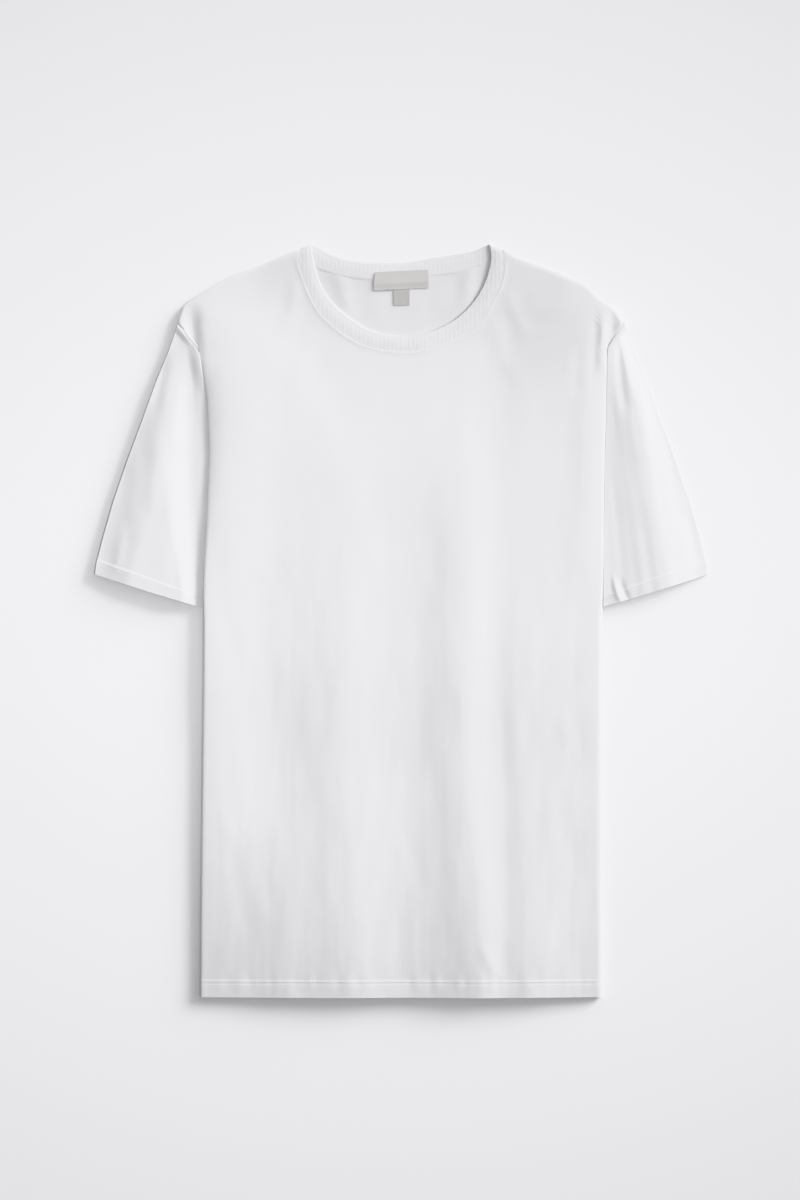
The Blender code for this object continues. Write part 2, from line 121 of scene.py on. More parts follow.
# outlines as points (x, y)
SHOULDER_LEFT = [
    (-207.0, SHOULDER_Y), (-200.0, 302.5), (-162.0, 325.2), (-133.8, 335.6), (-105.4, 347.9), (-HPS_X, HPS_Y),
]
SHOULDER_RIGHT = [
    (199.5, SHOULDER_Y), (187.7, 304.4), (168.8, 320.5), (140.4, 332.8), (112.0, 342.2), (HPS_X, HPS_Y),
]
FRONT_SEAM = [
    (-96.0, 350.7), (-96.9, 337.5), (-92.2, 323.3), (-83.7, 302.5), (-69.5, 283.6), (-40.2, 262.8),
    (-3.3, 254.8), (28.0, 258.2), (60.0, 271.5), (76.1, 285.5), (86.0, 302.5), (93.5, 318.6), (96.4, 334.0),
    (96.0, 350.7),
]
FRONT_FREE = [
    (-84.6, 355.5), (-82.0, 337.0), (-76.2, 318.0), (-67.9, 304.4), (-55.3, 291.6), (-30.0, 275.4),
    (0.0, 269.2), (25.0, 273.0), (47.0, 283.2), (64.0, 298.0), (75.2, 314.0), (81.4, 330.0), (83.6, 343.0),
    (82.5, 355.5),
]
BACK_SEAM = [
    (-96.0, 350.7), (-81.5, 335.0), (-69.5, 329.5), (-53.4, 324.9), (-29.8, 322.8), (0.0, 323.6),
    (26.9, 325.8), (42.1, 327.4), (53.4, 329.6), (67.6, 333.5), (80.0, 338.0), (96.0, 350.7),
]
BACK_FREE = [
    (-84.6, 355.5), (-77.1, 352.6), (-67.5, 347.5), (-57.2, 343.4), (-45.9, 340.3), (-26.0, 338.5),
    (0.0, 338.0), (14.7, 340.0), (29.8, 342.8), (45.9, 345.1), (67.5, 349.4), (82.5, 355.5),
]

# the front's main folds: three places that each runs through, its rise, its half widths and its fade
FOLD_COLUMNS = ("y0", "x0", "y1", "x1", "y2", "x2", "rise", "left", "right", "fade")
FOLDS = [
    (76.0, -60.0, -123.0, -54.0, -350.0, -46.0, 3.2, 44.0, 32.0, 120.0),
    (140.0, 60.0, -123.0, 58.0, -350.0, 74.0, 4.6, 34.0, 26.0, 190.0),
    (20.0, 112.0, -123.0, 112.0, -350.0, 122.0, 2.2, 16.0, 48.0, 150.0),
    (-190.0, -128.0, -260.0, -122.0, -350.0, -114.0, 1.4, 36.0, 26.0, 90.0),
    (236.0, 178.0, 150.0, 176.0, 60.0, 172.0, 0.8, 14.0, 12.0, 60.0),
    (262.0, -120.0, 180.0, -70.0, 60.0, -30.0, 0.9, 26.0, 26.0, 50.0),
    (262.0, 124.0, 200.0, 112.0, 90.0, 108.0, 0.8, 20.0, 22.0, 50.0),
]

# y, outer fold
SLEEVE_OUTER = [
    (43.0, 291.0), (54.0, 289.5), (75.6, 284.0), (113.4, 273.2), (151.3, 260.2), (189.1, 246.0),
    (226.9, 232.3), (255.3, 220.5), (280.0, 211.8), (286.0, 206.0),
]
# y, left crest, right crest, height of the crest
SLEEVE_CREST = [
    (28.0, 257.0, 252.0, 13.6), (47.0, 252.0, 248.0, 13.6), (75.0, 241.5, 241.0, 13.6),
    (113.0, 232.0, 233.5, 13.4), (160.0, 227.0, 227.0, 13.0), (208.0, 221.5, 219.0, 11.6),
    (230.0, 217.0, 213.0, 10.5), (280.0, 206.0, 202.0, 8.0),
]
# right-hand outlines of the flat sleeve as points (x, y), from the outer fold inwards
ARMHOLE = [(207.0, 284.5), (192.5, 263.0), (176.5, 241.0), (163.0, 195.0), (146.0, 148.0), (130.0, 105.0)]
CUFF_OUTER = (291.0, 43.5)
CUFF_INNER = (128.0, -4.5)
CUFF_BOW = 1.6
SLEEVE_LENGTH = 246.0  # down the middle, from armhole to cuff

# corners from lower left, anticlockwise
LABEL_CORNERS = ((-26.5, 311.8), (25.8, 314.4), (25.2, 331.6), (-25.4, 329.0))
TAB_CORNERS = ((-7.6, 298.0), (7.6, 298.0), (7.6, 315.6), (-7.6, 315.6))

# ---------------------------------------- finer sizes of the cloth
CLOTH = 0.8
UNDER_FRONT = 0.2  # that a hidden layer keeps below the front's wall
CURVE_STEPS = 16  # between two points of an outline
SEAM_SAMPLES = 160
BACK_SEAM_SAMPLES = 120

# turned-up hems: depth, rise, groove along the stitching, puckers
BODY_HEM = 16.0
SLEEVE_HEM = 14.0
HEM_RAISE = 0.45
NEEDLE_IN = 1.0  # from a hem's raw edge to its upper line of stitching
NEEDLES_APART = 3.0
HEM_STEP = 1.2
SLEEVE_HEM_STEP = 1.6
HEM_GROOVE = 0.25
HEM_GROOVE_WIDE = 2.0
PUCKER = 0.16
PUCKER_LENGTH = 17.0
PUCKER_COUNT = 12
PUCKER_BELOW = 2.0
PUCKER_REACH = 9.0
NO_WAVE = 1e6  # a wavelength too long to show
HEM_SEED = 21

# the front rises towards the hem
HEM_LIFT = 6.5
HEM_RUN = 230.0
HEM_LIFT_EDGE = 90.0
CLEAR_OF_EDGE = 4.0

# both sides slope down where they lie on a sleeve: depth and reach, left then right
EDGE_DROP = 3.4
EDGE_DROP_REACH = 9.0
SIDE_SLOPE = 1.4
SIDE_SLOPE_REACH = 6.0
BESIDE_FROM = -10.0
BESIDE_RUN = 170.0
BESIDE_UNTIL = 215.0
BESIDE_FADE = 35.0

# the front beside the neckband: allowance, groove at the seam, stitched ridge
NECK_SEAM_FROM = 235.0
ALLOWANCE_RISE = 0.20
ALLOWANCE_WIDE = 7.0
SEAM_GROOVE = 0.10
SEAM_GROOVE_WIDE = 0.8
SEAM_RIDGE = 0.10
SEAM_RIDGE_AT = 2.4
SEAM_RIDGE_WIDE = 0.9

# ripples of the front: height, what they gain low down, seed, wavelengths across and along
RIPPLES = [
    (0.04, 0.065, 11, 46.0, 170.0),
    (0.008, 0.02, 12, 16.0, 90.0),
    (0.008, 0.022, 14, 8.0, 120.0),
]
RIPPLE_EDGE = 20.0
LOW_FROM = 150.0
LOW_RUN = 200.0

SHOULDER_COLUMNS = 26
NECK_COLUMNS = 76
NECK_SHARE = 0.2  # of a straight row's width, where the neckline's columns begin
CORNER_CURL = 0.6  # of the shoulders' curl at the high points
UPPER_BUNCHING = 1.25  # packs the upper rows towards the neckline
ROLL_STEPS = 10
STRIP_STEPS = 8
UPPER_ROWS = 88
LOWER_ROWS = 122
HEM_ROWS = 24
HEM_ZONE = 24.0
BACK_FINENESS = 0.62

# fine creases: start and end, bow sideways, rise (a trough is negative), half width
CREASE_FADE = 0.3  # share of a crease over which each end fades
CREASE_COLUMNS = ("x0", "y0", "x1", "y1", "bow", "rise", "wide")
CREASES = [
    (-199.5, 302.0, -194.5, 226.0, 0.0, -3.4, 6.4),
    (201.0, 302.0, 196.5, 238.0, 0.0, -1.6, 4.4),
    (183.5, 296.0, 179.5, 212.0, -1.0, -0.4, 3.6),
    (191.5, 304.0, 187.5, 228.0, 0.0, 1.0, 3.0),
    (169.0, 262.0, 165.0, 205.0, 1.0, -0.4, 5.0),
    (-162.0, -198.0, -132.0, -322.0, 6.0, -0.25, 8.0),
    (-146.0, -190.0, -118.0, -300.0, 5.0, 0.2, 8.0),
    (73.0, -300.0, 94.0, -340.0, 2.0, 0.5, 5.5),
    (64.0, 258.0, 62.0, 128.0, 3.0, 0.3, 9.0),
    (-100.0, 330.0, -120.0, 262.0, -6.0, 0.4, 6.0),
    (-92.0, 300.0, -142.0, 236.0, -6.0, 0.35, 8.0),
    (-84.0, 290.0, -110.0, 205.0, -5.0, 0.35, 8.0),
    (98.0, 322.0, 126.0, 262.0, 5.0, 0.35, 7.0),
    (88.0, 292.0, 112.0, 220.0, 5.0, 0.3, 8.0),
    (-172.0, 90.0, -150.0, -60.0, 8.0, -0.4, 8.0),
    (168.0, 60.0, 150.0, -110.0, -6.0, -0.3, 8.0),
]
BACK_CREASES = [(66.0, 344.0, 60.0, 262.0, 2.0, 1.5, 5.0), (-62.0, 336.0, -48.0, 270.0, -2.0, 0.6, 6.0)]
BACK_WAVE = 0.12
BACK_WAVES = (60.0, 120.0)
BACK_SEED = 13
BACK_SEAM_RISE = 0.35
BACK_SEAM_WIDE = 14.0
BACK_MIDDLE_FROM = 50.0
BACK_MIDDLE_RUN = 40.0
BACK_LOWEST = -0.1


def smooth(t):
    """Eased step from 0 to 1."""
    t = np.clip(t, 0.0, 1.0)
    return t * t * (3.0 - 2.0 * t)


def column(rows, value, which=1):
    """Reads one column of a table against its first column."""
    table = np.array(rows)
    return np.interp(value, table[:, 0], table[:, which])


def curve(points, count):
    """Evenly spaced points on a smooth curve through the given ones."""
    control = np.array(points, dtype=float)
    ends = np.vstack([2 * control[0] - control[1], control, 2 * control[-1] - control[-2]])
    dense = []
    for i in range(1, len(ends) - 2):
        p0, p1, p2, p3 = ends[i - 1], ends[i], ends[i + 1], ends[i + 2]
        for t in np.linspace(0.0, 1.0, CURVE_STEPS, endpoint=False):
            dense.append(
                0.5 * (2 * p1 + (p2 - p0) * t + (2 * p0 - 5 * p1 + 4 * p2 - p3) * t * t
                       + (3 * p1 - p0 - 3 * p2 + p3) * t ** 3)
            )
    dense = np.array(dense + [control[-1]])
    run = np.concatenate([[0.0], np.cumsum(np.linalg.norm(np.diff(dense, axis=0), axis=1))])
    wanted = np.linspace(0.0, run[-1], count)
    return np.stack([np.interp(wanted, run, dense[:, k]) for k in range(dense.shape[1])], axis=1)


def waves(x, y, seed, length_x, length_y, count=14):
    """Gentle seeded undulation of about unit height, with the given typical wavelengths."""
    chance = np.random.default_rng(seed)
    total = np.zeros(np.broadcast(x, y).shape)
    for _ in range(count):
        fx = chance.normal() / length_x
        fy = chance.normal() / length_y
        phase = chance.uniform(0.0, 2.0 * math.pi)
        total = total + np.sin(2.0 * math.pi * (fx * x + fy * y) + phase)
    return total / math.sqrt(count / 2.0)


# ---------------------------------------- form of the body
def body_edge(y, side):
    """The body's edge on one side, as a distance from the middle."""
    return column(BODY_EDGES, y, 1 if side < 0 else 2) * side


def strip_base(y, run=SLEEVE_RUN, fall=ARMHOLE_RUN):
    """Height at which the tucked strips lie: on the surface, or on a sleeve."""
    rising = smooth((y - SLEEVE_END + run) / run)
    return STRIP_OVER_SLEEVE * rising * (1.0 - smooth((y - ARMHOLE_TOP) / fall))


def from_edge(x, y):
    """Distance inwards from the nearer rolled ridge."""
    return np.minimum(x - column(BODY_EDGES, y, 3), column(BODY_EDGES, y, 4) - x)


def back_floor(x, y):
    """Height of the back's underside: over its tucked strips, and down to the surface inside them."""
    beyond = (from_edge(x, y) - column(STRIP_WIDTHS, y) - SAG_START) / SAG_RUN
    return (strip_base(y) + 2 * LAYER) * (1.0 - smooth(beyond))


def front_floor(x, y):
    """Height that the front keeps over the layers below it, sagging towards the middle."""
    beyond = (from_edge(x, y) - column(STRIP_WIDTHS, y) - SAG_START) / FRONT_SAG_RUN
    base = strip_base(y, FRONT_SLEEVE_RUN, FRONT_ARMHOLE_RUN)
    sag = FRONT_SAG + (1.0 - FRONT_SAG) * smooth((y - SAG_FULL_FROM) / SAG_FULL_RUN)
    return (base + 2 * LAYER) * (1.0 - sag * smooth(beyond))


def side_puff(x, y):
    """Fullness of both panels beside their rolled edges."""
    leftward = np.asarray(x) < 0.0
    rise = np.where(leftward, column(PUFFS, y, 1), column(PUFFS, y, 2))
    run = np.where(leftward, *PUFF_RUN)
    return rise * (1.0 - smooth((from_edge(x, y) - PUFF_START) / run))


def fold_height(x, y, row):
    """One of the main folds, with its own spread to the left and to the right."""
    f = dict(zip(FOLD_COLUMNS, row))
    line = np.interp(y, [f["y2"], f["y1"], f["y0"]], [f["x2"], f["x1"], f["x0"]])
    off = x - line
    spread = np.where(off < 0, f["left"], f["right"])
    grown = smooth((f["y0"] + f["fade"] / 2 - y) / f["fade"])
    if f["y2"] > HEM_Y + f["fade"]:
        grown = grown * smooth((y - f["y2"] + f["fade"]) / f["fade"])
    return f["rise"] * grown * np.exp(-((off / spread) ** 2))


def front_loft(x, y):
    """Fullness of the front: sides, main folds and the lift beside the neck."""
    loft = side_puff(x, y)
    for row in FOLDS:
        loft = loft + fold_height(x, y, row)
    for side in (-1, 1):
        reach = np.hypot(x - side * HPS_X, (y - HPS_Y) * NECK_SQUEEZE) / NECK_REACH
        loft = loft + NECK_LIFT[side] * np.exp(-reach ** 2)
    return loft


def crease_height(x, y, row):
    """A soft ridge or trough along a bowed line, fading at both ends."""
    c = dict(zip(CREASE_COLUMNS, row))
    dx = c["x1"] - c["x0"]
    dy = c["y1"] - c["y0"]
    length = math.hypot(dx, dy)
    along = ((x - c["x0"]) * dx + (y - c["y0"]) * dy) / length
    t = np.clip(along / length, 0.0, 1.0)
    off = ((x - c["x0"]) * dy - (y - c["y0"]) * dx) / length - c["bow"] * np.sin(math.pi * t)
    ends = smooth(along / length / CREASE_FADE) * smooth((1.0 - along / length) / CREASE_FADE)
    return c["rise"] * ends * np.exp(-((off / c["wide"]) ** 2))


def hem_relief(up, x):
    """Turned-up hem: a raised band, a groove along its stitching and small puckers."""
    inside = 1.0 - smooth((up - BODY_HEM + HEM_STEP / 2) / HEM_STEP)
    groove = np.exp(-(((up - BODY_HEM + NEEDLES_APART / 2 + NEEDLE_IN) / HEM_GROOVE_WIDE) ** 2))
    pucker = waves(x, up * 0.0, HEM_SEED, PUCKER_LENGTH, NO_WAVE, PUCKER_COUNT)
    near = np.exp(-(((up - BODY_HEM + PUCKER_BELOW) / PUCKER_REACH) ** 2))
    return HEM_RAISE * inside - HEM_GROOVE * groove + PUCKER * pucker * near


def edge_drop(x, y):
    """Both sides slope down to their edges where they lie on a sleeve."""
    beside = smooth((y - BESIDE_FROM) / BESIDE_RUN) * (1.0 - smooth((y - BESIDE_UNTIL) / BESIDE_FADE))
    left = np.maximum(x - column(BODY_EDGES, y, 1), 0.0)
    right = np.maximum(column(BODY_EDGES, y, 2) - x, 0.0)
    drop = EDGE_DROP * np.exp(-left / EDGE_DROP_REACH)
    return -beside * (drop + SIDE_SLOPE * np.exp(-right / SIDE_SLOPE_REACH))


def distance(x, y, points):
    """Distance from each place to a line of points."""
    gap = np.hypot(np.asarray(x)[..., None] - points[:, 0], np.asarray(y)[..., None] - points[:, 1])
    return gap.min(axis=-1)


def neck_seam(x, y):
    """Front beside the neckband: raised by the seam allowance, with a groove and a stitched ridge."""
    rise = np.zeros(np.broadcast(x, y).shape)
    near = np.broadcast_to(y, rise.shape) > NECK_SEAM_FROM
    x = np.broadcast_to(x, rise.shape)[near]
    y = np.broadcast_to(y, rise.shape)[near]
    d = distance(x, y, curve(FRONT_SEAM, SEAM_SAMPLES))
    groove = SEAM_GROOVE * np.exp(-((d / SEAM_GROOVE_WIDE) ** 2))
    rise[near] = ALLOWANCE_RISE * (1.0 - smooth(d / ALLOWANCE_WIDE)) - groove
    rise[near] += SEAM_RIDGE * np.exp(-(((d - SEAM_RIDGE_AT) / SEAM_RIDGE_WIDE) ** 2))
    return rise


def front_relief(x, y):
    """Everything finer than the front's main form."""
    inside = from_edge(x, y) - CLEAR_OF_EDGE
    relief = edge_drop(x, y) + neck_seam(x, y)
    relief = relief + HEM_LIFT * smooth((HEM_Y + HEM_RUN - y) / HEM_RUN) * smooth(inside / HEM_LIFT_EDGE)
    for row in CREASES:
        relief = relief + crease_height(x, y, row)
    calm = smooth(inside / RIPPLE_EDGE)
    low = smooth((LOW_FROM - y) / LOW_RUN)
    for height, more, seed, across, along in RIPPLES:
        relief = relief + (height + more * low) * calm * waves(x, y, seed, across, along)
    return relief + hem_relief(y - HEM_Y, x)


def front_plain(x, y):
    """Height of the front's outer surface without its fine creases."""
    return front_floor(x, y) + 2 * WALL + GAP + front_loft(x, y)


def front_top(x, y):
    """Height of the front's outer surface."""
    return front_plain(x, y) + front_relief(x, y)


def back_relief(x, y):
    """Soft folds of the inner back that show inside the neck."""
    relief = 0.0
    for row in BACK_CREASES:
        relief = relief + crease_height(x, y, row)
    seam = distance(x, y, curve(BACK_SEAM, BACK_SEAM_SAMPLES))
    relief = relief + BACK_WAVE * waves(x, y, BACK_SEED, *BACK_WAVES)
    return relief + BACK_SEAM_RISE * (1.0 - smooth(seam / BACK_SEAM_WIDE))


def back_top(x, y):
    """Height of the back's inner surface, which stays below the front."""
    middle = smooth((from_edge(x, y) - BACK_MIDDLE_FROM) / BACK_MIDDLE_RUN)
    height = back_floor(x, y) + WALL + side_puff(x, y)
    height = height + middle * np.maximum(back_relief(x, y), BACK_LOWEST)
    return np.minimum(height, front_top(x, y) - CLOTH - UNDER_FRONT)


# ---------------------------------------- meshes
def mark_rims(mesh):
    """Cut edges are sharp, so the cloth's faces shade evenly up to them."""
    builder = bmesh.new()
    builder.from_mesh(mesh)
    for edge in builder.edges:
        edge.smooth = not edge.is_boundary
    builder.to_mesh(mesh)
    builder.free()


def add_mesh(name, points, faces, finish):
    """A smooth-shaded object from points in millimetres."""
    mesh = bpy.data.meshes.new(name)
    mesh.from_pydata((np.asarray(points) * MM).tolist(), [], faces)
    mesh.update()
    mesh.shade_smooth()
    mark_rims(mesh)
    made = bpy.data.objects.new(name, mesh)
    bpy.context.scene.collection.objects.link(made)
    mesh.materials.append(finish)
    return made


def add_sheet(name, grid, wall, offset, finish, closed_across=False, closed_along=False):
    """Cloth from a grid of points (row, column, xyz), thickened to its wall."""
    along, across = grid.shape[:2]
    number = np.arange(along * across).reshape(along, across)
    if closed_across:
        number = np.hstack([number, number[:, :1]])
    if closed_along:
        number = np.vstack([number, number[:1]])
    corners = [number[:-1, :-1], number[1:, :-1], number[1:, 1:], number[:-1, 1:]]
    faces = np.stack([c.ravel() for c in corners], axis=1).tolist()
    made = add_mesh(name, grid.reshape(-1, 3), faces, finish)
    thick = made.modifiers.new("wall", "SOLIDIFY")
    thick.thickness = wall * MM
    thick.offset = offset
    thick.use_quality_normals = True
    return made


def roll_at(y, side):
    """Half width of the rolled side edge: full low down, tight where it rests on the sleeve."""
    full = ROLL_LEFT if side < 0 else ROLL
    return full - (full - SEAM_ROLL) * smooth((y - TIGHT_FROM) / TIGHT_RUN)


def panel_grid(neckline, inset, lift, top, shoulder_end, fineness=1.0):
    """Outer surface of a panel: strip, rolled edge, main part, rolled edge, strip."""
    shoulders = round(SHOULDER_COLUMNS * fineness)
    necks = round(NECK_COLUMNS * fineness)
    left = curve(SHOULDER_LEFT, shoulders + 1)
    neck = curve(neckline, necks + 1)
    right = curve(SHOULDER_RIGHT, shoulders + 1)[::-1]
    tips = np.vstack([left[:-1], neck, right[1:]])
    last = len(tips) - 1
    index = np.arange(last + 1)
    curl = np.where((index < shoulders) | (index > last - shoulders), 1.0, 0.0)
    curl[[shoulders, -shoulders - 1]] = CORNER_CURL
    upper = np.linspace(0.0, 1.0, round(UPPER_ROWS * fineness)) ** UPPER_BUNCHING
    lower = np.linspace(UPPER_END, HEM_Y + HEM_ZONE, round(LOWER_ROWS * fineness))[1:]
    hem = np.linspace(HEM_Y + HEM_ZONE, HEM_Y, round(HEM_ROWS * fineness))[1:]
    y = np.vstack([
        tips[None, :, 1] - (tips[None, :, 1] - UPPER_END) * upper[:, None],
        np.repeat(lower[:, None], last + 1, axis=1),
        np.repeat(hem[:, None], last + 1, axis=1),
    ])
    share = np.interp(index, [0, shoulders, last - shoulders, last], [0.0, NECK_SHARE, 1.0 - NECK_SHARE, 1.0])
    low = column(BODY_EDGES, y, 1) + roll_at(y, -1)
    high = column(BODY_EDGES, y, 2) - roll_at(y, 1)
    tip_low = column(BODY_EDGES, tips[:, 1], 1) + roll_at(tips[:, 1], -1)
    tip_high = column(BODY_EDGES, tips[:, 1], 2) - roll_at(tips[:, 1], 1)
    at_tip = np.clip((tips[:, 0] - tip_low) / (tip_high - tip_low), 0.0, 1.0)
    blend = np.exp((y - tips[None, :, 1]) / LEAD_IN)
    x = low + (high - low) * (share + (at_tip - share) * blend)
    z = top(x, y)
    over = np.clip((tips[None, :, 1] - y) / ROLL, 0.0, 1.0)
    spare = np.maximum(z - back_floor(x, y) - shoulder_end, 0.0)
    z = z - curl * spare * (1.0 - np.sqrt(np.clip(1.0 - (1.0 - over) ** 2, 0.0, 1.0)))
    main = np.stack([x, y, z], axis=2)
    left_side = side_grid(main[:, 0], -1, inset, lift)
    right_side = side_grid(main[:, -1], 1, inset, lift)
    return np.concatenate([left_side[:, ::-1], main, right_side], axis=1)


def side_grid(start, side, inset, lift):
    """Rolled side edge and the strip under it, one row for each row of the main part."""
    x0, y, high = start.T
    low = strip_base(y) + lift
    centre = (high + low) / 2
    radius = (high - low) / 2
    reach = np.minimum(np.maximum(roll_at(y, side) - inset, LEAST_REACH), radius * radius / ROLL_SHARPNESS)
    columns = []
    for turn in range(1, ROLL_STEPS + 1):
        angle = math.pi * turn / ROLL_STEPS
        x = x0 + side * reach * math.sin(angle)
        columns.append(np.stack([x, y, centre + radius * math.cos(angle)], axis=1))
    width = np.maximum(column(STRIP_WIDTHS, y) - ROLL - inset, LEAST_STRIP)
    for part in range(1, STRIP_STEPS + 1):
        columns.append(np.stack([x0 - side * width * part / STRIP_STEPS, y, low], axis=1))
    return np.stack(columns, axis=1)


# ---------------------------------------- sleeves
# Across a sleeve the shares run from its outer fold (0) to its underarm (1), and down it from the armhole
# (0) to the cuff (1).
SLEEVE_ROWS = [(0.0, 0.08, 16), (0.08, 0.92, 44), (0.92, 1.0, 18)]  # from, to, count
SLEEVE_SEEN_COLUMNS = 96
SLEEVE_WALL_COLUMNS = 7
SLEEVE_HIDDEN_COLUMNS = 14
SLEEVE_UNDER_COLUMNS = 16
OUTER_TURN = 0.004  # the upper layer's first and last places
INNER_TURN = 0.985
UNDER_TURN = (0.02, 0.965)  # the lower layer's first place, and the width from there
SEEN_LIMITS = (0.01, 0.9)  # the step under the body starts this far in at least, and here at most
STEP_LIMITS = (0.004, 0.95)  # its least width, and where it ends at most
STEP_SPAN = (-0.5, 1.5)  # its two ends, in SLEEVE_WALL widths
ARMHOLE_SAMPLES = 81
SEARCH_SAMPLES = 601
FOLD_STEPS = 9

# y, height of the outer fold
SLEEVE_RIM = {
    -1: [(43.0, 9.0), (140.0, 8.8), (180.0, 9.6), (208.0, 10.2), (240.0, 9.6), (280.0, 8.6)],
    1: [(43.0, 3.0), (110.0, 4.4), (280.0, 2.6)],
}
# y, height beside the body
SLEEVE_NEAR = {
    -1: [(43.0, 5.6), (195.0, 5.6), (225.0, 7.4), (250.0, 9.4), (290.0, 9.8)],
    1: [(43.0, 10.4), (110.0, 10.2), (150.0, 9.8), (250.0, 9.8), (290.0, 10.2)],
}
RIGHT_BEGIN = -2.0
RIGHT_CLIMB = 60.0
LEAST_CLIMB = 8.0
# y, how far from the body the left sleeve starts to rise to its crest, and over what width
LEFT_CLIMB = [
    (28.0, 1.0, 20.0), (60.0, 4.0, 24.0), (94.0, 9.0, 28.0), (150.0, 14.0, 32.0), (230.0, 10.0, 30.0),
    (280.0, 0.0, 20.0),
]
SLEEVE_WALL = 0.4  # width of the step down under the body's edge
UNDER_FROM = 0.2  # inside the edge, where the front's wall starts to press a sleeve down

# where a sleeve is level with the body: how far out from its edge, how far in, and from what y up
SEAM_SINK = 0.05
PULL_OUT_FROM = 1.0
PULL_OUT_RUN = 11.0
PULL_IN_FROM = 6.0
PULL_IN_RUN = 1.5
PULL_UP_FROM = 206.0
PULL_UP_RUN = 54.0

SLEEVE_TIP = 7.0  # height at the top of the armhole
TIP_FROM = 279.0
TIP_RUN = 8.0
CALM_BESIDE = (2.0, 10.0)  # from the body's edge, then over what width, the creases start
CALM_TOP = (268.0, 14.0)
HEM_BESIDE = (4.0, 8.0)
SLEEVE_WAVE = 0.12
SLEEVE_WAVES = (34.0, 70.0)
SLEEVE_SEED = 31
SLEEVE_CREASES = {
    -1: [
        (222.0, 262.0, 236.0, 190.0, 2.0, -0.8, 5.0),
        (205.0, 238.0, 214.0, 150.0, -3.0, 0.7, 6.0),
        (262.0, 92.0, 272.0, 40.0, 1.0, 0.6, 5.0),
        (210.0, 96.0, 216.0, 22.0, 2.0, -0.6, 7.0),
    ],
    1: [
        (205.0, 264.0, 214.0, 190.0, 2.0, -0.9, 5.0),
        (222.0, 240.0, 232.0, 160.0, -3.0, 0.7, 6.0),
        (199.0, 44.0, 208.0, 14.0, 1.0, 1.2, 2.6),
        (206.0, 40.0, 216.0, 16.0, 1.0, -0.9, 2.6),
        (262.0, 100.0, 274.0, 44.0, 1.0, 0.6, 6.0),
    ],
}


def seam_pull(x, y, side, height):
    """Brings the sleeve level with the body's edge where they are sewn together."""
    edge = body_edge(y, side)
    level = front_plain(side * (edge - SEAM_ROLL), y) - SEAM_SINK
    near = 1.0 - smooth((x - edge - PULL_OUT_FROM) / PULL_OUT_RUN)
    near = near * smooth((x - edge + PULL_IN_FROM) / PULL_IN_RUN) * smooth((y - PULL_UP_FROM) / PULL_UP_RUN)
    return (level - height) * near


def sleeve_top(x, y, side):
    """Height of a tented sleeve: low at its outer fold, a long crest, pressed under the body."""
    body = body_edge(y, side)
    outer = column(SLEEVE_OUTER, y)
    crest = column(SLEEVE_CREST, y, 1 if side < 0 else 2)
    rise = column(SLEEVE_CREST, y, 3)
    begin = column(LEFT_CLIMB, y) if side < 0 else RIGHT_BEGIN
    climb = column(LEFT_CLIMB, y, 2) if side < 0 else RIGHT_CLIMB
    inner = smooth((x - body - begin) / np.clip(crest - body - begin, LEAST_CLIMB, climb))
    fall = smooth((x - crest) / np.maximum(outer - crest, LEAST_CLIMB))
    near = column(SLEEVE_NEAR[side], y)
    beside = SLEEVE_STACK + (near - SLEEVE_STACK) * smooth((x - body + SLEEVE_WALL) / SLEEVE_WALL)
    height = beside + (rise - beside) * inner - (rise - column(SLEEVE_RIM[side], y)) * fall * inner
    height = height + seam_pull(x, y, side, height)
    under = front_top(side * x, y) - CLOTH - UNDER_FRONT
    height = np.where(x < body - UNDER_FROM, np.minimum(height, under), height)
    height = height + (SLEEVE_TIP - height) * smooth((y - TIP_FROM) / TIP_RUN)
    clear = smooth((x - body - CALM_BESIDE[0]) / CALM_BESIDE[1]) * smooth((CALM_TOP[0] - y) / CALM_TOP[1])
    for row in SLEEVE_CREASES[side]:
        height = height + clear * crease_height(x, y, row)
    return height + SLEEVE_WAVE * clear * waves(x, y, SLEEVE_SEED + side, *SLEEVE_WAVES)


def sleeve_point(w, v):
    """A point of the flat sleeve, on the right-hand side: w across from the outer fold, v down."""
    hole = curve(ARMHOLE, ARMHOLE_SAMPLES)
    at = np.linspace(0.0, 1.0, len(hole))
    upper = np.stack([np.interp(w, at, hole[:, k]) for k in (0, 1)], axis=-1)
    lower = np.array(CUFF_OUTER) * (1 - w[..., None]) + np.array(CUFF_INNER) * w[..., None]
    lower[..., 1] -= CUFF_BOW * np.sin(math.pi * w)
    point = upper * (1 - v[..., None]) + lower * v[..., None]
    rim_y = ARMHOLE[0][1] * (1 - v) + CUFF_OUTER[1] * v
    rim_x = ARMHOLE[0][0] * (1 - v) + CUFF_OUTER[0] * v
    point[..., 0] += (column(SLEEVE_OUTER, rim_y) - rim_x) * (1 - w) ** 2
    return point


def top_columns(v, side):
    """Places across one row of a sleeve's upper layer, close together where it dips under the body."""
    w = np.linspace(0.0, 1.0, SEARCH_SAMPLES)
    row = sleeve_point(w, np.full_like(w, v))
    inside = -(row[:, 0] - body_edge(row[:, 1], side))
    start, end = (np.interp(SLEEVE_WALL * widths, inside, w) for widths in STEP_SPAN)
    start = min(max(start, OUTER_TURN + SEEN_LIMITS[0]), SEEN_LIMITS[1])
    end = min(max(end, start + STEP_LIMITS[0]), STEP_LIMITS[1])
    return np.concatenate([
        np.linspace(OUTER_TURN, start, SLEEVE_SEEN_COLUMNS, endpoint=False),
        np.linspace(start, end, SLEEVE_WALL_COLUMNS, endpoint=False),
        np.linspace(end, INNER_TURN, SLEEVE_HIDDEN_COLUMNS),
    ])


